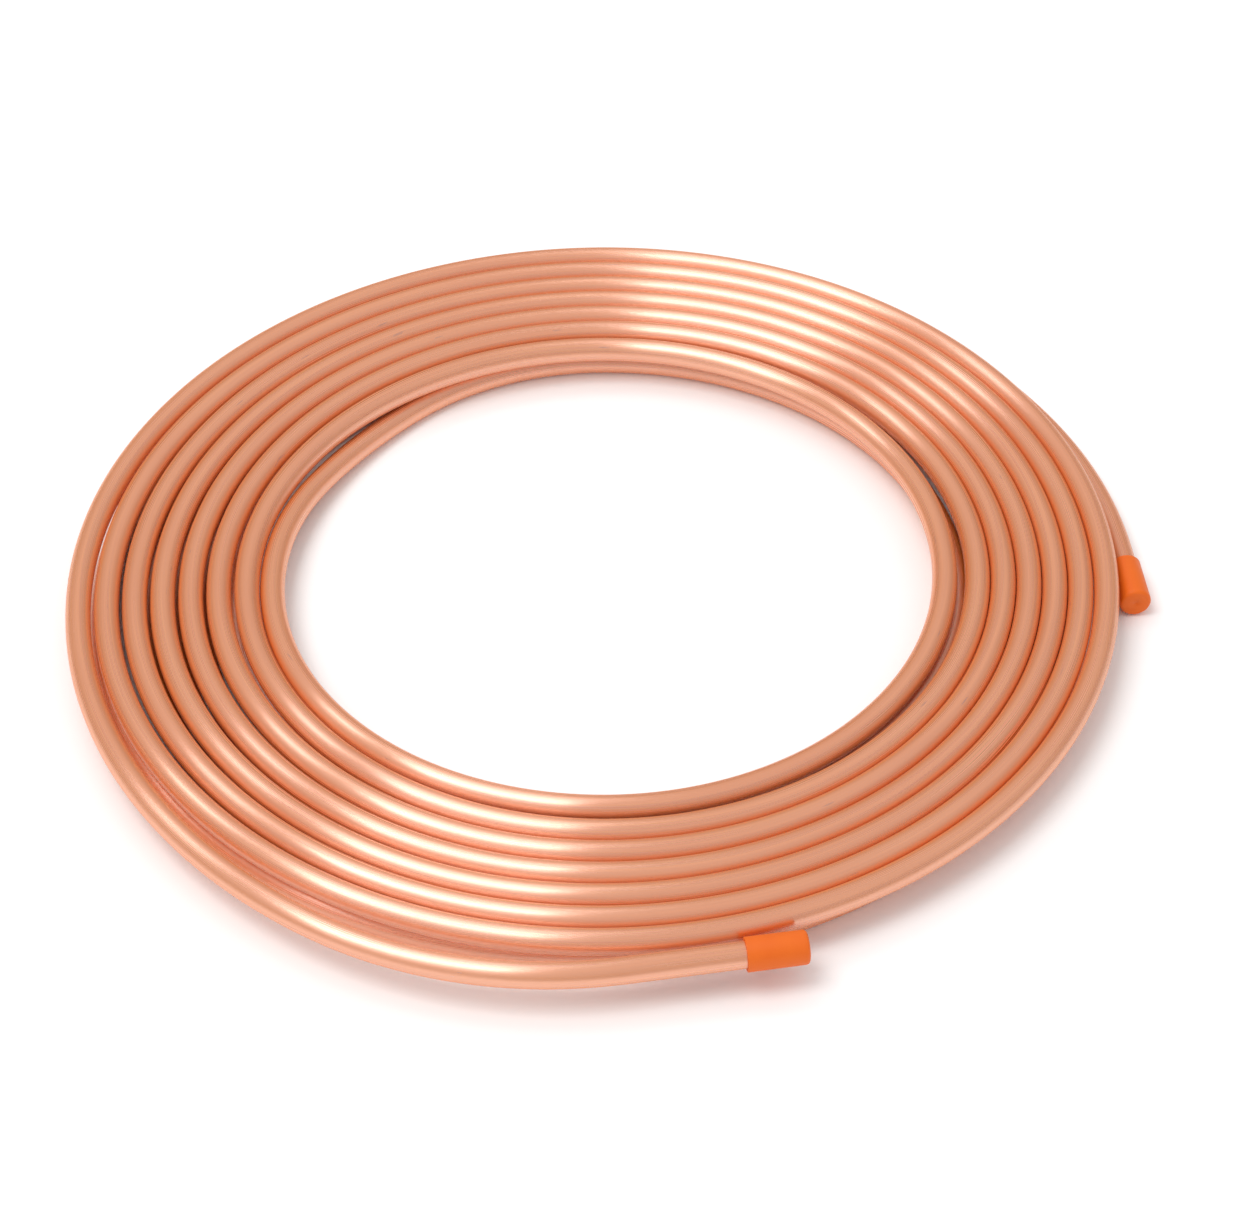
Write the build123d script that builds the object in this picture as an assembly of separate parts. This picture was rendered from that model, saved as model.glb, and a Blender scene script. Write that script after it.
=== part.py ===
from build123d import *
from math import cos, radians, sin
import os

# Sizes in millimetres and degrees. The coil lies flat: its eye is centred on Z and the floor is at Z = 0.

# Soft copper tube, 3/8 inch outside. It is bored at its two ends, and its closed inside is left solid.
tube_od = 9.52
tube_wall = 0.8
bored_length = 20.0

# The innermost lower turn round the eye is this wide on the right, and the second upper one on the left.
# All other radii follow from it.
eye_turn_radius = 135.5

# Free space between neighbouring turns. The upper ones lie closer on the right, where X is positive.
lower_gap = 0.65
upper_left_gap = 1.08
upper_right_gap = 0.15
layer_gap = 0.2

# Lower layer: it winds inwards, and its last half turn steps in by this much more. Its outermost turn has
# sprung open by the two steps after that.
lower_half_turns = 8
lower_inner_step = 4.0
lower_spring_near = 11.8
lower_spring_far = 3.9
lower_lift_angle = 35.0
lower_end_angle = 3.5
lower_end_run = 30.8

# The tube climbs inside the eye: it rolls round the underside of the turn above it. At the back it still
# lies this much outside that turn. It stays level until it is this much inside it, and on the left it has
# rolled this far round it.
climb_gap = 0.25
climb_back_outset = 4.3
climb_level_inset = 3.6
climb_level_angle = 125.0
climb_roll = 75.0

# Upper layer: it winds outwards from the eye. Its first turn stands off the second one at the front
# and on the right, and its last one has sprung open before it ends.
second_turn_widening = 7.0
first_turn_right_gap = 2.8
first_turn_front_step = 2.9
upper_half_turns = 14
upper_bulge = 6.6
upper_bulge_angle = 60.0
upper_end_spring = 3.4
upper_end_angle = 91.1
upper_end_run = 60.5

# Plastic caps: cups pushed over the two tube ends.
cap_wall = 1.2
cap_clearance = 0.1
cap_length = 21.5
cap_end_thickness = 2.0
cap_edge_radius = 1.2

tube_radius = tube_od / 2
bore_radius = tube_radius - tube_wall
lower_pitch = tube_od + lower_gap
upper_left_pitch = tube_od + upper_left_gap
upper_right_pitch = tube_od + upper_right_gap
cap_radius = tube_radius + cap_clearance + cap_wall
cap_depth = cap_length - cap_end_thickness
lower_height = tube_radius
upper_height = lower_height + tube_od + layer_gap


def past_left(angle, radius):
    """Point of the upper layer this far round from its left side."""
    return Vector(-radius * cos(radians(angle)), -radius * sin(radians(angle)), upper_height)


def double_bend(start, start_heading, end, end_heading):
    """Point where two bends meet that lead from one direction to another."""
    across = end - start
    along = across.dot(start_heading + end_heading)
    spread = 1 - start_heading.dot(end_heading)
    corner = ((along**2 + 2 * spread * across.dot(across)) ** 0.5 - along) / (2 * spread)
    return (start + start_heading * corner + end - end_heading * corner) * 0.5


# Every half turn runs from one side of the X axis to the other, so a layer is given by the radii
# where its centre line crosses that axis.
lower_inner_radius = eye_turn_radius + lower_inner_step
lower_radii = [lower_inner_radius + lower_pitch / 2 * step for step in range(lower_half_turns, 0, -1)]
lower_radii.insert(0, lower_radii[0] + lower_spring_near)
second_turn_right = eye_turn_radius + second_turn_widening
first_turn_right = second_turn_right - tube_od - first_turn_right_gap
upper_radii = [first_turn_right, eye_turn_radius, second_turn_right]
for half_turn in range(len(upper_radii), upper_half_turns):
    pitch = upper_left_pitch if half_turn % 2 else upper_right_pitch
    upper_radii.append(upper_radii[-2] + pitch)

lower_points = [Vector(-radius * (-1) ** turn, 0, lower_height) for turn, radius in enumerate(lower_radii)]
upper_points = [Vector(radius * (-1) ** turn, 0, upper_height) for turn, radius in enumerate(upper_radii)]

# In its last half turn the lower layer tucks in under the first upper turn.
lower_front = Vector(first_turn_right - lower_radii[-1], -first_turn_right, lower_height)
lower_right = Vector(eye_turn_radius, 0, lower_height)
lower_points += [
    lower_front,
    double_bend(lower_front, Vector(1, 0, 0), lower_right, Vector(0, 1, 0)),
    lower_right,
]

# Lower end: a wide bend, then a straight run to the cap. The cap is thicker than the tube, so from
# where the end comes out from under the upper layer its bend leans up, and the cap clears the floor.
lower_bend_radius = lower_radii[0] + lower_spring_far
lift_turn = radians(lower_lift_angle - lower_end_angle)
lift_reach = lower_bend_radius * (1 - cos(lift_turn)) + (lower_end_run - cap_depth) * sin(lift_turn)
lift_lean = (cap_radius - tube_radius) / lift_reach
lift_side = Vector(cos(radians(lower_lift_angle)), sin(radians(lower_lift_angle)))
lift_start = Vector(lower_spring_far, 0, lower_height) + lift_side * lower_bend_radius
lift_heading = lift_side.rotate(Axis.Z, -90)
lift_inward = (Vector(0, 0, lift_lean) - lift_side).normalized()
lower_bend_end = lift_start + (
    lift_heading * sin(lift_turn) + lift_inward * (1 - cos(lift_turn))
) * lower_bend_radius
lower_out = lift_heading * cos(lift_turn) + lift_inward * sin(lift_turn)
lower_end = lower_bend_end + lower_out * lower_end_run

# Climb: level under the turn above it at the back, risen on the left, level beside it at the front. Past
# the left the roll slows evenly, so that it ends a quarter turn further on.
climb_back_radius = (first_turn_right + eye_turn_radius) / 2 + climb_back_outset
climb_back = Vector(eye_turn_radius - climb_back_radius, climb_back_radius, lower_height)
climb_back_heading = Vector(-1, 0, 0)
climb_level = Vector(eye_turn_radius - climb_level_inset, 0, lower_height).rotate(Axis.Z, climb_level_angle)
level_chord = (climb_level - climb_back).normalized()
climb_level_heading = level_chord * level_chord.dot(climb_back_heading) * 2 - climb_back_heading
climb_reach = tube_od + climb_gap
roll = radians(climb_roll)
climb_left = Vector(climb_reach * sin(roll) - eye_turn_radius, 0, upper_height - climb_reach * cos(roll))
climb_rate = climb_reach * 2 * (90 - climb_roll) / 90
climb_left_heading = Vector(climb_rate * cos(roll), climb_left.X, climb_rate * sin(roll)).normalized()
climb_front = Vector(first_turn_front_step, first_turn_front_step - first_turn_right, upper_height)
climb_points = [
    climb_back,
    climb_level,
    double_bend(climb_level, climb_level_heading, climb_left, climb_left_heading),
    climb_left,
    double_bend(climb_left, climb_left_heading, climb_front, Vector(1, 0, 0)),
    climb_front,
]

# Upper end: it bulges out, comes back in, and runs straight to the cap.
upper_bend_end = past_left(upper_end_angle, upper_radii[-1] + upper_end_spring)
upper_end_points = [past_left(upper_bulge_angle, upper_radii[-1] + upper_bulge), upper_bend_end]

# Centre line of the whole tube. Each bend carries on in the direction of the run before it.
bend_points = [lift_start] + lower_points + climb_points + upper_points + upper_end_points
runs = [Line(lower_end, lower_bend_end)]
for point in bend_points:
    runs.append(TangentArc(runs[-1] @ 1, point, tangent=runs[-1] % 1))
runs.append(Line(upper_bend_end, upper_bend_end + runs[-1] % 1 * upper_end_run))
centre_line = Wire(runs)

# Planes on the two tube ends, facing out of the tube.
lower_mouth = Plane(origin=centre_line @ 0, z_dir=-(centre_line % 0))
upper_mouth = Plane(origin=centre_line @ 1, z_dir=centre_line % 1)

copper_tube = sweep(lower_mouth * Circle(tube_radius), path=centre_line)
for mouth in (lower_mouth, upper_mouth):
    copper_tube -= extrude(mouth * Circle(bore_radius), -bored_length)


def end_cap(mouth):
    """Plastic cup over a tube end."""
    rim = Pos(0, 0, cap_clearance - cap_depth)
    cup = extrude(rim * Circle(cap_radius), cap_length)
    cup = fillet(cup.edges().group_by(Axis.Z)[-1], cap_edge_radius)
    cup -= extrude(rim * Circle(tube_radius + cap_clearance), cap_depth)
    return mouth * cup


pieces = {
    "copper_tube": copper_tube,
    "upper_end_cap": end_cap(upper_mouth),
    "lower_end_cap": end_cap(lower_mouth),
}
print("tube length", round(centre_line.length), "mm")

os.makedirs("parts", exist_ok=True)
for name, piece in pieces.items():
    export_step(piece, f"parts/{name}.step")
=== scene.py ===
# %% [markdown]
# A coil of soft copper tube, as it lies on a shop's white table. One long tube is wound into two flat
# layers, one on the other, and an orange plastic cap is pushed over each end. The imported solid model is
# loaded first. It is the fixed frame that every visible piece has to agree with.

# %% Load the imported model
import bmesh
import bpy
from math import cos, pi, radians, sin
from mathutils import Matrix, Vector


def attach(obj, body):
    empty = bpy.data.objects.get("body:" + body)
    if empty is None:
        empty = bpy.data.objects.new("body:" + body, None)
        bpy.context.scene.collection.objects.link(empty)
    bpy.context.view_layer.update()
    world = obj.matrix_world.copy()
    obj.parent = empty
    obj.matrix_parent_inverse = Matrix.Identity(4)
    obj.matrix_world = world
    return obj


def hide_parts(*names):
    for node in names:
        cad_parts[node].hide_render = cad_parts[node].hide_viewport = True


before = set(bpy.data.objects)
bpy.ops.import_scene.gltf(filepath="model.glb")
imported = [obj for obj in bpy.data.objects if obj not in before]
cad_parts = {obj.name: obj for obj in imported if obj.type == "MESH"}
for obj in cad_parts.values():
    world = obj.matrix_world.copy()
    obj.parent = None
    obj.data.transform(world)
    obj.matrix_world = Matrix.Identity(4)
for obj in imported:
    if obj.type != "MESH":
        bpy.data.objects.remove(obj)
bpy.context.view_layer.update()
print("packed nodes:", sorted(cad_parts))

# %% [markdown]
# The tube is soft copper, 9.52 mm across. Its route could be drawn by hand as a curve, but a coil follows
# a rule: every half turn is half a circle, and each one starts where the last one stopped. So a layer is
# given by the radii where its centre line crosses the X axis. The lower layer winds inwards, and its
# outermost turn has sprung open.

# %% Lower layer: where the tube crosses the X axis
TUBE_OD = 0.00952
TUBE_RADIUS = TUBE_OD / 2
EYE_TURN_RADIUS = 0.1355
LOWER_PITCH = 0.01017
LOWER_HALF_TURNS = 8
LOWER_INNER_STEP = 0.004
LOWER_INNER_RADIUS = EYE_TURN_RADIUS + LOWER_INNER_STEP
LOWER_SPRING_NEAR = 0.0118

lower_radii = [LOWER_INNER_RADIUS + LOWER_PITCH / 2 * step for step in range(LOWER_HALF_TURNS, 0, -1)]
lower_radii.insert(0, lower_radii[0] + LOWER_SPRING_NEAR)
lower_points = [Vector((-radius * (-1) ** turn, 0, TUBE_RADIUS)) for turn, radius in enumerate(lower_radii)]
print("lower layer crosses at", [round(radius, 4) for radius in lower_radii])

# %% [markdown]
# The upper layer winds outwards from the eye. Its turns lie closer on the right than on the left, so it
# has two pitches.

# %% Upper layer: where the tube crosses the X axis
UPPER_LEFT_PITCH = 0.0106
UPPER_RIGHT_PITCH = 0.00967
SECOND_TURN_RIGHT = 0.1425
FIRST_TURN_RIGHT = 0.13018
UPPER_HALF_TURNS = 14
LAYER_RISE = 0.00972
UPPER_HEIGHT = TUBE_RADIUS + LAYER_RISE

upper_radii = [FIRST_TURN_RIGHT, EYE_TURN_RADIUS, SECOND_TURN_RIGHT]
for half_turn in range(len(upper_radii), UPPER_HALF_TURNS):
    upper_radii.append(upper_radii[-2] + (UPPER_LEFT_PITCH if half_turn % 2 else UPPER_RIGHT_PITCH))
upper_points = [Vector((radius * (-1) ** turn, 0, UPPER_HEIGHT)) for turn, radius in enumerate(upper_radii)]
print("upper layer crosses at", [round(radius, 4) for radius in upper_radii])

# %% [markdown]
# Between the layers the tube climbs inside the eye. In its last half turn the lower layer tucks in under
# the first upper turn. At the back it still lies under the turn above it, on the left it has rolled round
# that turn, and at the front it lies beside it. Where two directions don't fit one bend, two bends meet
# halfway between the corners of their tangents, which is how a pipe fitter sets out an offset.

# %% The climb between the layers
CLIMB_GAP = 0.00025
CLIMB_REACH = TUBE_OD + CLIMB_GAP
CLIMB_ROLL = radians(75)
CLIMB_BACK_OUTSET = 0.0043
CLIMB_LEVEL_INSET = 0.0036
CLIMB_LEVEL_ANGLE = radians(125)
FIRST_TURN_FRONT_STEP = 0.0029


def double_bend(start, start_heading, end, end_heading):
    """Point where two bends meet that lead from one direction to another."""
    across = end - start
    along = across.dot(start_heading + end_heading)
    spread = 1 - start_heading.dot(end_heading)
    corner = ((along**2 + 2 * spread * across.dot(across)) ** 0.5 - along) / (2 * spread)
    return (start + start_heading * corner + end - end_heading * corner) / 2


lower_front = Vector((FIRST_TURN_RIGHT - lower_radii[-1], -FIRST_TURN_RIGHT, TUBE_RADIUS))
lower_right = Vector((EYE_TURN_RADIUS, 0, TUBE_RADIUS))
lower_points += [
    lower_front,
    double_bend(lower_front, Vector((1, 0, 0)), lower_right, Vector((0, 1, 0))),
    lower_right,
]
climb_back_radius = (FIRST_TURN_RIGHT + EYE_TURN_RADIUS) / 2 + CLIMB_BACK_OUTSET
climb_back = Vector((EYE_TURN_RADIUS - climb_back_radius, climb_back_radius, TUBE_RADIUS))
level_radius = EYE_TURN_RADIUS - CLIMB_LEVEL_INSET
level_side = Vector((cos(CLIMB_LEVEL_ANGLE), sin(CLIMB_LEVEL_ANGLE), 0))
climb_level = level_side * level_radius + Vector((0, 0, TUBE_RADIUS))
climb_level_heading = -Vector((-1, 0, 0)).reflect((climb_level - climb_back).normalized())
climb_in, climb_down = CLIMB_REACH * sin(CLIMB_ROLL), CLIMB_REACH * cos(CLIMB_ROLL)
climb_left = Vector((climb_in - EYE_TURN_RADIUS, 0, UPPER_HEIGHT - climb_down))
climb_rate = 2 * (1 - CLIMB_ROLL / (pi / 2))
climb_left_heading = Vector((climb_rate * climb_down, climb_left.x, climb_rate * climb_in)).normalized()
climb_front = Vector((FIRST_TURN_FRONT_STEP, FIRST_TURN_FRONT_STEP - FIRST_TURN_RIGHT, UPPER_HEIGHT))
climb_points = [
    climb_back,
    climb_level,
    double_bend(climb_level, climb_level_heading, climb_left, climb_left_heading),
    climb_left,
    double_bend(climb_left, climb_left_heading, climb_front, Vector((1, 0, 0))),
    climb_front,
]
print("the climb passes the left at", [round(value, 4) for value in climb_left])

# %% [markdown]
# Both ends lie on the outside. The lower one leaves the coil in a wide bend and ends in a short straight
# run on the right. It rises by about a millimetre there, because the cap on it is thicker than the tube
# and rests on the table.

# %% The lower end
CAP_RADIUS = 0.00606
CAP_LENGTH = 0.0215
CAP_DEPTH = 0.0195
LOWER_SPRING_FAR = 0.0039
LOWER_LIFT_ANGLE = radians(35)
LOWER_END_ANGLE = radians(3.5)
LOWER_END_RUN = 0.0308

lower_bend = lower_radii[0] + LOWER_SPRING_FAR
lift_turn = LOWER_LIFT_ANGLE - LOWER_END_ANGLE
lift_reach = lower_bend * (1 - cos(lift_turn)) + (LOWER_END_RUN - CAP_DEPTH) * sin(lift_turn)
lift_side = Vector((cos(LOWER_LIFT_ANGLE), sin(LOWER_LIFT_ANGLE), 0))
lift_heading = Vector((lift_side.y, -lift_side.x, 0))
lift_inward = (Vector((0, 0, (CAP_RADIUS - TUBE_RADIUS) / lift_reach)) - lift_side).normalized()
lift_start = Vector((LOWER_SPRING_FAR, 0, TUBE_RADIUS)) + lift_side * lower_bend
lift_way = lift_heading * sin(lift_turn) + lift_inward * (1 - cos(lift_turn))
lower_bend_end = lift_start + lift_way * lower_bend
lower_out = lift_heading * cos(lift_turn) + lift_inward * sin(lift_turn)
lower_end = lower_bend_end + lower_out * LOWER_END_RUN
print("the lower end is at", [round(value, 4) for value in lower_end])

# %% [markdown]
# The upper end has sprung open as well. It bulges out at the front left, comes back in and runs straight
# to its cap. Its direction there follows from the bends before it, so it is worked out from them: a bend
# turns its start direction into the same direction mirrored about the line from its start to its end.

# %% The upper end
UPPER_BULGE = 0.0066
UPPER_BULGE_ANGLE = radians(60)
UPPER_END_SPRING = 0.0034
UPPER_END_ANGLE = radians(91.1)
UPPER_END_RUN = 0.0605


def past_left(angle, radius):
    """Point of the upper layer this far round from its left side."""
    return Vector((-radius * cos(angle), -radius * sin(angle), UPPER_HEIGHT))


upper_bulge = past_left(UPPER_BULGE_ANGLE, upper_radii[-1] + UPPER_BULGE)
upper_bend_end = past_left(UPPER_END_ANGLE, upper_radii[-1] + UPPER_END_SPRING)
upper_out = Vector((0, -1, 0))
for start, end in ((upper_points[-1], upper_bulge), (upper_bulge, upper_bend_end)):
    upper_out = -upper_out.reflect((end - start).normalized())
upper_end = upper_bend_end + upper_out * UPPER_END_RUN
print("the upper end is at", [round(value, 4) for value in upper_end])

# %% [markdown]
# The bend points become the vertices of a small mesh, in the order in which the tube passes them. It is
# all that the tube needs: Geometry Nodes do the bending, so a change to one radius bends the whole coil
# again.

# %% Bend points as a mesh
bend_points = [lower_end, lower_bend_end, lift_start] + lower_points + climb_points
bend_points += upper_points + [upper_bulge, upper_bend_end, upper_end]
bend_mesh = bpy.data.meshes.new("bend_points")
bend_mesh.from_pydata(bend_points, [], [])
tube_former = bpy.data.objects.new("tube_former", bend_mesh)
bpy.context.scene.collection.objects.link(tube_former)
print(len(bend_points), "bend points")

# %% [markdown]
# A node tree is built by code here, so a few helpers keep that readable. One adds a node, one feeds a
# socket with a value or with another node's output, and each of the others adds a step of arithmetic.

# %% Helpers for node trees


def add_node(tree, kind, **settings):
    """Add a node to a tree and set its options."""
    new_node = tree.nodes.new(kind)
    for key, value in settings.items():
        setattr(new_node, key, value)
    return new_node


def feed(tree, socket, value):
    """Link an output to a socket, or write a plain value on it."""
    if isinstance(value, bpy.types.NodeSocket):
        tree.links.new(value, socket)
    else:
        socket.default_value = value


def vector_step(tree, operation, *inputs):
    """One step of vector arithmetic. Its result is a vector, or a number for a length or a dot product."""
    step = add_node(tree, "ShaderNodeVectorMath", operation=operation)
    for socket, value in zip(step.inputs, inputs):
        feed(tree, socket, value)
    return step.outputs["Value" if operation in ("LENGTH", "DOT_PRODUCT") else "Vector"]


def vector_scale(tree, vector, factor):
    """A vector made longer or shorter by a factor."""
    step = add_node(tree, "ShaderNodeVectorMath", operation="SCALE")
    feed(tree, step.inputs["Vector"], vector)
    feed(tree, step.inputs["Scale"], factor)
    return step.outputs["Vector"]


def number_step(tree, operation, *inputs, clamp=False):
    """One step of arithmetic on numbers."""
    step = add_node(tree, "ShaderNodeMath", operation=operation, use_clamp=clamp)
    for socket, value in zip(step.inputs, inputs):
        feed(tree, socket, value)
    return step.outputs["Value"]


# %% [markdown]
# The tree gets named inputs, as sizes on a drawing have. They show in the modifier's panel, so a learner
# can turn them by hand.

# %% The tube bender and its inputs
bender = bpy.data.node_groups.new("tube_bender", "GeometryNodeTree")
INPUTS = (
    ("Tube radius", "NodeSocketFloat", TUBE_RADIUS),
    ("Points per bend", "NodeSocketInt", 192),
    ("Step along the tube", "NodeSocketFloat", 0.0045),
    ("Sides", "NodeSocketInt", 24),
    ("Out of round", "NodeSocketFloat", 0.0003),
    ("Seed", "NodeSocketFloat", 7.0),
    ("Finish", "NodeSocketMaterial", None),
)
bender.interface.new_socket("Bend points", in_out="INPUT", socket_type="NodeSocketGeometry")
socket_ids = {}
for label, kind, _ in INPUTS:
    socket_ids[label] = bender.interface.new_socket(label, in_out="INPUT", socket_type=kind).identifier
bender.interface.new_socket("Tube", in_out="OUTPUT", socket_type="NodeSocketGeometry")
drawing = add_node(bender, "NodeGroupInput").outputs
result = add_node(bender, "NodeGroupOutput")
print("tube bender inputs:", list(socket_ids))

# %% [markdown]
# A pipe bender makes one bend after another, and each bend starts in the direction in which the last one
# ended. A Repeat Zone does the same: it carries the direction of travel from bend to bend. It starts with
# the direction of the first straight run.

# %% The repeat zone and what it carries


def bend_point(index):
    """Position of one bend point."""
    sample = add_node(bender, "GeometryNodeSampleIndex", data_type="FLOAT_VECTOR", domain="POINT")
    feed(bender, sample.inputs["Geometry"], drawing["Bend points"])
    feed(bender, sample.inputs["Value"], add_node(bender, "GeometryNodeInputPosition").outputs["Position"])
    feed(bender, sample.inputs["Index"], index)
    return sample.outputs["Value"]


def straight_run(start, end):
    """A straight piece of centre line."""
    run = add_node(bender, "GeometryNodeCurvePrimitiveLine", mode="POINTS")
    feed(bender, run.inputs["Start"], start)
    feed(bender, run.inputs["End"], end)
    return run.outputs["Curve"]


last_index = len(bend_points) - 1
first_run = vector_step(bender, "SUBTRACT", bend_point(1), bend_point(0))
first_heading = vector_step(bender, "NORMALIZE", first_run)
zone_in = add_node(bender, "GeometryNodeRepeatInput")
zone_out = add_node(bender, "GeometryNodeRepeatOutput")
zone_in.pair_with_output(zone_out)
zone_out.repeat_items.new("VECTOR", "Heading")
zone_out.repeat_items.new("INT", "Bend")
feed(bender, zone_in.inputs["Iterations"], last_index - 2)
feed(bender, zone_in.inputs["Geometry"], straight_run(bend_point(0), bend_point(1)))
feed(bender, zone_in.inputs["Heading"], first_heading)
feed(bender, zone_in.inputs["Bend"], 1)
print("the zone makes", last_index - 2, "bends")

# %% [markdown]
# One bend is an arc through three points: its start, its end and its middle. The middle follows from the
# direction at the start. The direction at the end is the first one mirrored about the line from start to
# end.

# %% One bend
heading = zone_in.outputs["Heading"]
bend_index = zone_in.outputs["Bend"]
next_index = number_step(bender, "ADD", bend_index, 1)
start = bend_point(bend_index)
end = bend_point(next_index)
chord = vector_step(bender, "SUBTRACT", end, start)
chord_direction = vector_step(bender, "NORMALIZE", chord)
chord_length = vector_step(bender, "LENGTH", chord)
along = vector_step(bender, "DOT_PRODUCT", heading, chord_direction)
sideways = vector_step(bender, "SUBTRACT", heading, vector_scale(bender, chord_direction, along))
bulge = number_step(bender, "DIVIDE", chord_length, number_step(bender, "ADD", along, 1.0))
middle = vector_scale(
    bender,
    vector_step(bender, "ADD", vector_step(bender, "ADD", start, end), vector_scale(bender, sideways, bulge)),
    0.5,
)
arc = add_node(bender, "GeometryNodeCurveArc", mode="POINTS")
for label, value in (("Start", start), ("Middle", middle), ("End", end)):
    feed(bender, arc.inputs[label], value)
feed(bender, arc.inputs["Resolution"], drawing["Points per bend"])
end_heading = vector_scale(bender, vector_step(bender, "REFLECT", heading, chord_direction), -1.0)
print("one bend brings the tree to", len(bender.nodes), "nodes")

# %% [markdown]
# The bend is added to the line so far, and the zone passes the new direction on. After the last bend the
# second straight run closes the line.

# %% Close the zone
line_so_far = add_node(bender, "GeometryNodeJoinGeometry")
feed(bender, line_so_far.inputs["Geometry"], zone_in.outputs["Geometry"])
feed(bender, line_so_far.inputs["Geometry"], arc.outputs["Curve"])
feed(bender, zone_out.inputs["Geometry"], line_so_far.outputs["Geometry"])
feed(bender, zone_out.inputs["Heading"], end_heading)
feed(bender, zone_out.inputs["Bend"], next_index)
whole_line = add_node(bender, "GeometryNodeJoinGeometry")
feed(bender, whole_line.inputs["Geometry"], zone_out.outputs["Geometry"])
last_run = straight_run(bend_point(last_index - 1), bend_point(last_index))
feed(bender, whole_line.inputs["Geometry"], last_run)

# %% [markdown]
# The bends are still separate splines that only meet. Turned into edges, their ends can be merged, and
# turned back they are one spline. Resampled by length it has evenly spaced points, so the tube's rings
# are evenly spaced too.

# %% Join the bends into one spline
WELD = 0.00002
edges = add_node(bender, "GeometryNodeCurveToMesh")
feed(bender, edges.inputs["Curve"], whole_line.outputs["Geometry"])
welded = add_node(bender, "GeometryNodeMergeByDistance")
feed(bender, welded.inputs["Geometry"], edges.outputs["Mesh"])
feed(bender, welded.inputs["Distance"], WELD)
one_line = add_node(bender, "GeometryNodeMeshToCurve")
feed(bender, one_line.inputs["Mesh"], welded.outputs["Geometry"])
even_line = add_node(bender, "GeometryNodeResampleCurve", mode="LENGTH")
feed(bender, even_line.inputs["Curve"], one_line.outputs["Curve"])
feed(bender, even_line.inputs["Length"], drawing["Step along the tube"])
print("one spline after", len(bender.nodes), "nodes")

# %% [markdown]
# Soft tube that was wound by machine and then handled is never quite round. A slow noise moves the line
# by a fraction of a millimetre. It reads the place in the coil, not the length along the tube, so
# neighbouring turns move together and stay clear of each other. Near the two ends it fades out, because
# the caps sit there.

# %% A little out of round
NOISE_SCALE = 5.0
FADE = 20.0
parameter = add_node(bender, "GeometryNodeSplineParameter")
fade_in = number_step(bender, "MULTIPLY", parameter.outputs["Factor"], FADE, clamp=True)
from_end = number_step(bender, "SUBTRACT", 1.0, parameter.outputs["Factor"])
fade_out = number_step(bender, "MULTIPLY", from_end, FADE, clamp=True)
slow_noise = add_node(bender, "ShaderNodeTexNoise", noise_dimensions="4D")
feed(bender, slow_noise.inputs["W"], drawing["Seed"])
feed(bender, slow_noise.inputs["Scale"], NOISE_SCALE)
feed(bender, slow_noise.inputs["Detail"], 0.0)
sway = vector_step(bender, "SUBTRACT", slow_noise.outputs["Color"], (0.5, 0.5, 0.5))
level_sway = vector_step(bender, "MULTIPLY", sway, (2.0, 2.0, 0.0))
fade = number_step(bender, "MULTIPLY", fade_in, fade_out)
sway_size = number_step(bender, "MULTIPLY", fade, drawing["Out of round"])
swayed_line = add_node(bender, "GeometryNodeSetPosition")
feed(bender, swayed_line.inputs["Geometry"], even_line.outputs["Curve"])
feed(bender, swayed_line.inputs["Offset"], vector_scale(bender, level_sway, sway_size))
print("swayed line after", len(bender.nodes), "nodes")

# %% [markdown]
# A tube is a circle carried along the line. The length along the line and the place on the circle are
# kept, because together they say where a point would be if the tube were pulled straight. The direction
# of the line is kept too. The drawing marks of the finish follow all of these.

# %% Sweep the circle along the line
upright = add_node(bender, "GeometryNodeSetCurveNormal", mode="Z_UP")
feed(bender, upright.inputs["Curve"], swayed_line.outputs["Geometry"])
kept_length = add_node(bender, "GeometryNodeCaptureAttribute", domain="POINT")
kept_length.capture_items.new("FLOAT", "Length")
kept_length.capture_items.new("VECTOR", "Along")
feed(bender, kept_length.inputs["Geometry"], upright.outputs["Curve"])
feed(bender, kept_length.inputs["Length"], parameter.outputs["Length"])
feed(bender, kept_length.inputs["Along"], add_node(bender, "GeometryNodeInputTangent").outputs["Tangent"])
section = add_node(bender, "GeometryNodeCurvePrimitiveCircle", mode="RADIUS")
feed(bender, section.inputs["Resolution"], drawing["Sides"])
feed(bender, section.inputs["Radius"], drawing["Tube radius"])
kept_place = add_node(bender, "GeometryNodeCaptureAttribute", domain="POINT")
kept_place.capture_items.new("VECTOR", "Place")
feed(bender, kept_place.inputs["Geometry"], section.outputs["Curve"])
feed(bender, kept_place.inputs["Place"], add_node(bender, "GeometryNodeInputPosition").outputs["Position"])
swept = add_node(bender, "GeometryNodeCurveToMesh")
feed(bender, swept.inputs["Curve"], kept_length.outputs["Geometry"])
feed(bender, swept.inputs["Profile Curve"], kept_place.outputs["Geometry"])
feed(bender, swept.inputs["Fill Caps"], True)
print("swept tube after", len(bender.nodes), "nodes")

# %% [markdown]
# The straightened place and the direction are stored under names that the material can ask for. The tree
# ends with smooth shading, real geometry and the finish.

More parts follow.
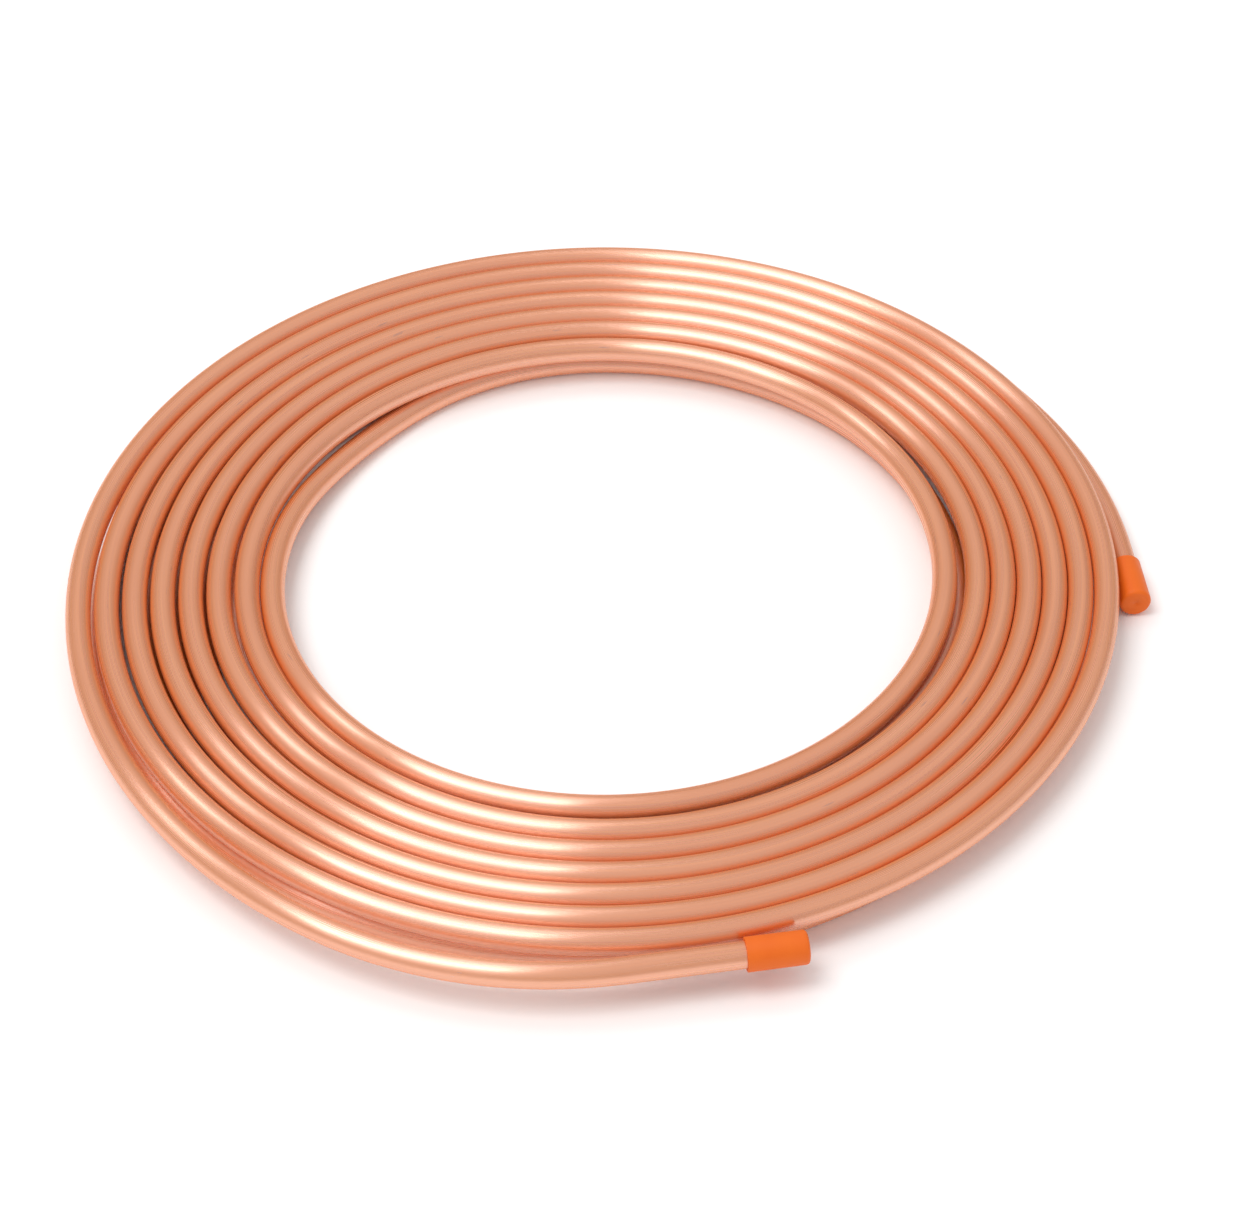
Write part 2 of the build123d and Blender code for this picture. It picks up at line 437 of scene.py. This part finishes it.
# %% Store what the finish needs and close the tree
place = add_node(bender, "ShaderNodeSeparateXYZ")
feed(bender, place.inputs["Vector"], kept_place.outputs["Place"])
straight = add_node(bender, "ShaderNodeCombineXYZ")
feed(bender, straight.inputs["X"], kept_length.outputs["Length"])
feed(bender, straight.inputs["Y"], place.outputs["X"])
feed(bender, straight.inputs["Z"], place.outputs["Y"])
stored_mesh = swept.outputs["Mesh"]
for name, value in (("straight", straight.outputs["Vector"]), ("along", kept_length.outputs["Along"])):
    store = add_node(bender, "GeometryNodeStoreNamedAttribute", data_type="FLOAT_VECTOR", domain="POINT")
    feed(bender, store.inputs["Geometry"], stored_mesh)
    feed(bender, store.inputs["Name"], name)
    feed(bender, store.inputs["Value"], value)
    stored_mesh = store.outputs["Geometry"]
smooth = add_node(bender, "GeometryNodeSetShadeSmooth", domain="FACE")
feed(bender, smooth.inputs["Geometry"], stored_mesh)
real = add_node(bender, "GeometryNodeRealizeInstances")
feed(bender, real.inputs["Geometry"], smooth.outputs["Geometry"])
finished = add_node(bender, "GeometryNodeSetMaterial")
feed(bender, finished.inputs["Geometry"], real.outputs["Geometry"])
feed(bender, finished.inputs["Material"], drawing["Finish"])
feed(bender, result.inputs["Tube"], finished.outputs["Geometry"])
print("tube bender has", len(bender.nodes), "nodes")

# %% [markdown]
# The finish is drawn copper. Drawing the tube through a die leaves very fine lines along it, and they do
# two things. They scatter part of the light, so this copper isn't a full mirror: metallic stays low and
# the base colour carries the hue. They also blur a reflection across the tube but not along it. That is
# what Anisotropic does, with the tube's own direction as its tangent, and it is why a lamp shows as a
# pale band with sharp ends. The high IOR makes that reflection strong and white, as the brightest parts
# of the photograph are. The lines themselves come from a noise that is stretched along the straightened
# tube, and they reach the colour, the roughness and the bump.

# %% Drawn copper
copper = bpy.data.materials.new("drawn_copper")
copper.use_nodes = True
copper_tree = copper.node_tree
metal = copper_tree.nodes["Principled BSDF"]
metal.inputs["Metallic"].default_value = 0.3
metal.inputs["IOR"].default_value = 5.0
metal.inputs["Anisotropic"].default_value = 1.0
metal.inputs["Anisotropic Rotation"].default_value = 0.25
straightened = add_node(copper_tree, "ShaderNodeAttribute", attribute_name="straight")
along_tube = add_node(copper_tree, "ShaderNodeAttribute", attribute_name="along")
feed(copper_tree, metal.inputs["Tangent"], along_tube.outputs["Vector"])


def stretched_noise(per_metre_along, per_metre_around, detail):
    """Noise on the straightened tube, with its own fineness along and around the tube."""
    stretch = add_node(copper_tree, "ShaderNodeMapping")
    feed(copper_tree, stretch.inputs["Vector"], straightened.outputs["Vector"])
    feed(copper_tree, stretch.inputs["Scale"], (per_metre_along, per_metre_around, per_metre_around))
    noise = add_node(copper_tree, "ShaderNodeTexNoise")
    feed(copper_tree, noise.inputs["Vector"], stretch.outputs["Vector"])
    feed(copper_tree, noise.inputs["Scale"], 1.0)
    feed(copper_tree, noise.inputs["Detail"], detail)
    return noise.outputs["Fac"]


def remap(tree, value, low, high, new_low, new_high):
    """Spread a value from one range over another."""
    spread = add_node(tree, "ShaderNodeMapRange")
    for label, limit in (("From Min", low), ("From Max", high), ("To Min", new_low), ("To Max", new_high)):
        feed(tree, spread.inputs[label], limit)
    feed(tree, spread.inputs["Value"], value)
    return spread.outputs["Result"]


def blend_colours(tree, factor, first, second):
    """Mix two colours by a factor."""
    mix = add_node(tree, "ShaderNodeMix", data_type="RGBA")
    feed(tree, mix.inputs["Factor"], factor)
    feed(tree, mix.inputs[6], first)
    feed(tree, mix.inputs[7], second)
    return mix.outputs[2]


draw_lines = stretched_noise(per_metre_along=6.0, per_metre_around=1000.0, detail=3.0)
clouds = stretched_noise(per_metre_along=14.0, per_metre_around=90.0, detail=2.0)
scuffs = stretched_noise(per_metre_along=80.0, per_metre_around=650.0, detail=1.0)

# %% [markdown]
# Bright copper isn't one colour. Handling leaves it pinker in some places and more orange in others, and
# here and there a short dark scuff lies along the tube.

# %% Colour, roughness and relief of the copper
COPPER_PINK = (0.98, 0.28, 0.035, 1)
COPPER_ORANGE = (0.95, 0.25, 0.02, 1)
COPPER_SCUFF = (0.42, 0.10, 0.025, 1)
CLOUD_RANGE = (0.35, 0.65)
LINE_RANGE = (0.3, 0.7)
LINE_SHADE = 0.22
SCUFF_RANGE = (0.75, 0.80)
SCUFF_SHADE = 0.5
ROUGHNESS = (0.23, 0.29)
RELIEF_STRENGTH = 0.25
RELIEF_DEPTH = 0.00003
cloud_mask = remap(copper_tree, clouds, *CLOUD_RANGE, 0.0, 1.0)
tint = blend_colours(copper_tree, cloud_mask, COPPER_ORANGE, COPPER_PINK)
line_shade = remap(copper_tree, draw_lines, *LINE_RANGE, 0.0, LINE_SHADE)
lined = blend_colours(copper_tree, line_shade, tint, COPPER_SCUFF)
scuff_mask = remap(copper_tree, scuffs, *SCUFF_RANGE, 0.0, SCUFF_SHADE)
scuffed = blend_colours(copper_tree, scuff_mask, lined, COPPER_SCUFF)
feed(copper_tree, metal.inputs["Base Color"], scuffed)
feed(copper_tree, metal.inputs["Roughness"], remap(copper_tree, draw_lines, *LINE_RANGE, *ROUGHNESS))
relief = add_node(copper_tree, "ShaderNodeBump")
feed(copper_tree, relief.inputs["Height"], draw_lines)
feed(copper_tree, relief.inputs["Strength"], RELIEF_STRENGTH)
feed(copper_tree, relief.inputs["Distance"], RELIEF_DEPTH)
feed(copper_tree, metal.inputs["Normal"], relief.outputs["Normal"])
print("drawn copper has", len(copper_tree.nodes), "nodes")

# %% [markdown]
# The modifier is set up with its inputs before it is first evaluated. Its result is then copied into a
# plain mesh, because the finished piece has to be ordinary geometry at the origin. The piece stands for
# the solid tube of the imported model.

# %% Bend the copper tube
bending = tube_former.modifiers.new("bending", "NODES")
bending.node_group = bender
for label, _, value in INPUTS:
    bending[socket_ids[label]] = copper if label == "Finish" else value


def plain_mesh(source, name):
    """A new object with the evaluated mesh of another one, and that one removed."""
    bpy.context.view_layer.update()
    evaluated = source.evaluated_get(bpy.context.evaluated_depsgraph_get())
    mesh = bpy.data.meshes.new_from_object(evaluated)
    mesh.name = name
    bpy.data.objects.remove(source)
    piece = bpy.data.objects.new(name, mesh)
    bpy.context.scene.collection.objects.link(piece)
    return piece


copper_tube = plain_mesh(tube_former, "copper_tube_wound")
lengths = [item.vector.x for item in copper_tube.data.attributes["straight"].data]
print("copper tube:", len(copper_tube.data.polygons), "faces,", round(max(lengths), 3), "m long")
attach(copper_tube, "root")
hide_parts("copper_tube")

# %% [markdown]
# Each cap is a small moulded cup, pushed over the tube so that no dirt gets in. A cup is a turned shape:
# its section is drawn once, from the inside round the mouth to the closed end, and turned about its axis.
# A few details make it look moulded: rounded edges, a little draft towards the closed end, and the small
# mark in the middle where the plastic came in.

# %% The section of a cap
CAP_CLEARANCE = 0.0001
CAP_BORE = TUBE_RADIUS + CAP_CLEARANCE
CAP_TOP = CAP_LENGTH - CAP_DEPTH + CAP_CLEARANCE
CAP_MOUTH = CAP_TOP - CAP_LENGTH
CAP_DRAFT = 0.00008
CAP_EDGE = 0.0014
CAP_LIP = 0.0003
CAP_INNER_CORNER = 0.0006
DISH_RADIUS = 0.0032
DISH_SINK = 0.00004
GATE_RIM = 0.00085
GATE_RIM_SINK = 0.00012
GATE_RADIUS = 0.0007
GATE_SINK = 0.0003
CORNER_STEPS = 8


def rounded(radius_centre, height_centre, size, start_angle, end_angle):
    """Points of a rounded edge in the cap's section."""
    turn = (end_angle - start_angle) / CORNER_STEPS
    angles = [start_angle + turn * step for step in range(CORNER_STEPS + 1)]
    return [(radius_centre + size * cos(angle), height_centre + size * sin(angle)) for angle in angles]


outer_end = CAP_RADIUS - CAP_DRAFT
section_points = [
    (0.0, CAP_CLEARANCE),
    (CAP_BORE - CAP_INNER_CORNER, CAP_CLEARANCE),
    (CAP_BORE, CAP_CLEARANCE - CAP_INNER_CORNER),
]
section_points += rounded(CAP_BORE + CAP_LIP, CAP_MOUTH + CAP_LIP, CAP_LIP, pi, 1.5 * pi)
section_points += rounded(CAP_RADIUS - CAP_LIP, CAP_MOUTH + CAP_LIP, CAP_LIP, 1.5 * pi, 2 * pi)
section_points += rounded(outer_end - CAP_EDGE, CAP_TOP - CAP_EDGE, CAP_EDGE, 0.0, 0.5 * pi)
section_points += [
    (DISH_RADIUS, CAP_TOP - DISH_SINK),
    (GATE_RIM, CAP_TOP - GATE_RIM_SINK),
    (GATE_RADIUS, CAP_TOP - GATE_SINK),
    (0.0, CAP_TOP - GATE_SINK),
]
print("cap section:", len(section_points), "points")

# %% [markdown]
# Mould skin has a very fine grain. It scatters the light, so the plastic looks satin. Handling has left
# it a shade paler in places.

# %% Orange plastic
CAP_ORANGE = (0.84, 0.158, 0.010, 1)
CAP_SHADE = (0.79, 0.132, 0.007, 1)
PATCH_RANGE = (0.3, 0.7)
CAP_ROUGHNESS = (0.42, 0.54)
GRAIN_STRENGTH = 0.2
GRAIN_DEPTH = 0.00005
cap_plastic = bpy.data.materials.new("orange_cap_plastic")
cap_plastic.use_nodes = True
cap_tree = cap_plastic.node_tree
plastic = cap_tree.nodes["Principled BSDF"]
plastic.inputs["IOR"].default_value = 1.49
plastic.inputs["Specular IOR Level"].default_value = 0.3
own_place = add_node(cap_tree, "ShaderNodeTexCoord").outputs["Object"]


def cap_noise(per_metre, detail):
    """Noise in the cap's own space."""
    noise = add_node(cap_tree, "ShaderNodeTexNoise")
    feed(cap_tree, noise.inputs["Vector"], own_place)
    feed(cap_tree, noise.inputs["Scale"], per_metre)
    feed(cap_tree, noise.inputs["Detail"], detail)
    return noise.outputs["Fac"]


grain = cap_noise(per_metre=2600.0, detail=2.0)
patches = cap_noise(per_metre=160.0, detail=2.0)
feed(cap_tree, plastic.inputs["Base Color"], blend_colours(cap_tree, patches, CAP_SHADE, CAP_ORANGE))
feed(cap_tree, plastic.inputs["Roughness"], remap(cap_tree, patches, *PATCH_RANGE, *CAP_ROUGHNESS))
grain_relief = add_node(cap_tree, "ShaderNodeBump")
feed(cap_tree, grain_relief.inputs["Height"], grain)
feed(cap_tree, grain_relief.inputs["Strength"], GRAIN_STRENGTH)
feed(cap_tree, grain_relief.inputs["Distance"], GRAIN_DEPTH)
feed(cap_tree, plastic.inputs["Normal"], grain_relief.outputs["Normal"])
print("orange plastic has", len(cap_tree.nodes), "nodes")

# %% [markdown]
# The section is turned with bmesh, ring by ring. The two points on the axis are poles, which a fan of
# triangles closes. The finished cup is set on the tube's end by writing its place into the mesh.

# %% Turn the caps and push them on
CAP_SEGMENTS = 72


def turned_cap(name, node, mouth, outwards):
    """A cap on a tube end that faces outwards."""
    cup = bmesh.new()
    axis_up = outwards.to_track_quat("Z", "Y").to_matrix().to_4x4()
    rings = []
    for radius, height in section_points:
        corners = 1 if radius == 0.0 else CAP_SEGMENTS
        angles = [2 * pi * step / CAP_SEGMENTS for step in range(corners)]
        rings.append([cup.verts.new((radius * cos(angle), radius * sin(angle), height)) for angle in angles])
    for lower_ring, upper_ring in zip(rings, rings[1:]):
        for step in range(CAP_SEGMENTS):
            after = (step + 1) % CAP_SEGMENTS
            corners = [ring[index % len(ring)] for ring, index in (
                (lower_ring, step), (lower_ring, after), (upper_ring, after), (upper_ring, step))]
            cup.faces.new(dict.fromkeys(corners)).smooth = True
    bmesh.ops.recalc_face_normals(cup, faces=cup.faces)
    cup.transform(Matrix.Translation(mouth) @ axis_up)
    mesh = bpy.data.meshes.new(name)
    cup.to_mesh(mesh)
    cup.free()
    mesh.materials.append(cap_plastic)
    cap = bpy.data.objects.new(name, mesh)
    bpy.context.scene.collection.objects.link(cap)
    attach(cap, "root")
    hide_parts(node)
    print(name, len(mesh.polygons), "faces")


turned_cap("lower_end_cap_moulded", "lower_end_cap", lower_end, lower_out)
turned_cap("upper_end_cap_moulded", "upper_end_cap", upper_end, upper_out)

# %% [markdown]
# The photograph has a plain white ground. A white floor gives that under a plain level of light, and it
# keeps the soft shadow.

# %% White floor
FLOOR_HALF = 6.0
floor_mesh = bpy.data.meshes.new("floor")
corner_signs = ((-1, -1), (1, -1), (1, 1), (-1, 1))
floor_corners = [(FLOOR_HALF * x, FLOOR_HALF * y, 0) for x, y in corner_signs]
floor_mesh.from_pydata(floor_corners, [], [(0, 1, 2, 3)])
floor = bpy.data.objects.new("floor", floor_mesh)
bpy.context.scene.collection.objects.link(floor)
floor_white = bpy.data.materials.new("floor_white")
floor_white.use_nodes = True
matte = floor_white.node_tree.nodes["Principled BSDF"]
matte.inputs["Base Color"].default_value = (1.0, 1.0, 1.0, 1)
matte.inputs["Roughness"].default_value = 1.0
matte.inputs["Specular IOR Level"].default_value = 0.0
floor_mesh.materials.append(floor_white)
print("the floor is", 2 * FLOOR_HALF, "m wide")

# %% [markdown]
# A studio with white walls surrounds the coil. To the camera it is plain white. In reflections, and
# through anything clear, its walls are darker towards the floor, which rounds the tubes. For scattered
# light it is weaker, so that the lamps can give the shadow a direction.

# %% White studio
ROOM_LIGHT = 0.76
WALL_LIGHT = 0.10
CEILING_LIGHT = 0.64
WALL_TOP = 0.7
world = bpy.data.worlds.new("studio")
bpy.context.scene.world = world
world.use_nodes = True
room = world.node_tree
background = room.nodes["Background"]
background.inputs["Color"].default_value = (1.0, 1.0, 1.0, 1)
ray = add_node(room, "ShaderNodeLightPath").outputs
direction = add_node(room, "ShaderNodeSeparateXYZ")
feed(room, direction.inputs["Vector"], add_node(room, "ShaderNodeTexCoord").outputs["Generated"])
walls = remap(room, direction.outputs["Z"], 0.0, WALL_TOP, WALL_LIGHT, CEILING_LIGHT)
mirrored = number_step(room, "MAXIMUM", ray["Is Glossy Ray"], ray["Is Transmission Ray"])
in_metal = number_step(room, "MULTIPLY", walls, mirrored)
scattered = number_step(room, "MULTIPLY", ray["Is Diffuse Ray"], ROOM_LIGHT)
lit = number_step(room, "MAXIMUM", in_metal, scattered)
feed(room, background.inputs["Strength"], number_step(room, "MAXIMUM", lit, ray["Is Camera Ray"]))
print("the studio has", len(room.nodes), "nodes")

# %% [markdown]
# Two large soft boxes hang side by side over the left, one towards the camera and one towards the back.
# Their reflections are the pale bands across the turns, at the far right and at the near left. A third,
# weaker one beside them gives the fainter band next to each of these.

# %% Soft boxes
AIM = Vector((0, 0, 0.01))


def soft_box(name, centre, edge, width, length, watts):
    """A rectangular lamp that faces the coil, with one edge in a given direction."""
    lamp = bpy.data.lights.new(name, "AREA")
    lamp.shape = "RECTANGLE"
    lamp.size = width
    lamp.size_y = length
    lamp.energy = watts
    box = bpy.data.objects.new(name, lamp)
    away = (Vector(centre) - AIM).normalized()
    across = Vector(edge).cross(away).normalized()
    turned = Matrix((across, away.cross(across), away)).transposed().to_4x4()
    box.matrix_world = Matrix.Translation(centre) @ turned
    bpy.context.scene.collection.objects.link(box)


soft_box(
    "front_soft_box", centre=(-1.25, -0.375, 3.375), edge=(0.0, 0.65, 0.76),
    width=1.85, length=1.6, watts=46.0,
)
soft_box(
    "back_soft_box", centre=(-0.56, 1.68, 3.59), edge=(0.41, 0.91, -0.4),
    width=1.1, length=1.3, watts=8.0,
)
soft_box(
    "left_soft_box", centre=(-1.85, 1.6, 3.175), edge=(0.81, 0.59, 0.2),
    width=0.6, length=1.4, watts=7.0,
)

# %% [markdown]
# The camera looks down at the coil from the front, a little less steeply than halfway, with a long lens.
# It aims at the middle of the eye. A small lens shift sets the coil where it is in the picture, and a
# small roll tilts it as it is there.

# %% Camera
ELEVATION = radians(42.68)
CAMERA_DISTANCE = 1.253
ROLL = radians(-1.58)
LENS = 94.9
SENSOR = 36.0
SHIFT = (0.0120, -0.0155)
lens = bpy.data.cameras.new("camera")
lens.lens = LENS
lens.sensor_width = SENSOR
lens.shift_x, lens.shift_y = SHIFT
camera = bpy.data.objects.new("camera", lens)
back = Vector((0, -cos(ELEVATION), sin(ELEVATION)))
tilt = Matrix.Rotation(pi / 2 - ELEVATION, 4, "X") @ Matrix.Rotation(ROLL, 4, "Z")
camera.matrix_world = Matrix.Translation(back * CAMERA_DISTANCE) @ tilt
bpy.context.scene.collection.objects.link(camera)
bpy.context.scene.camera = camera
bpy.context.scene.view_settings.view_transform = "Standard"
print("camera at", [round(value, 3) for value in camera.matrix_world.translation])
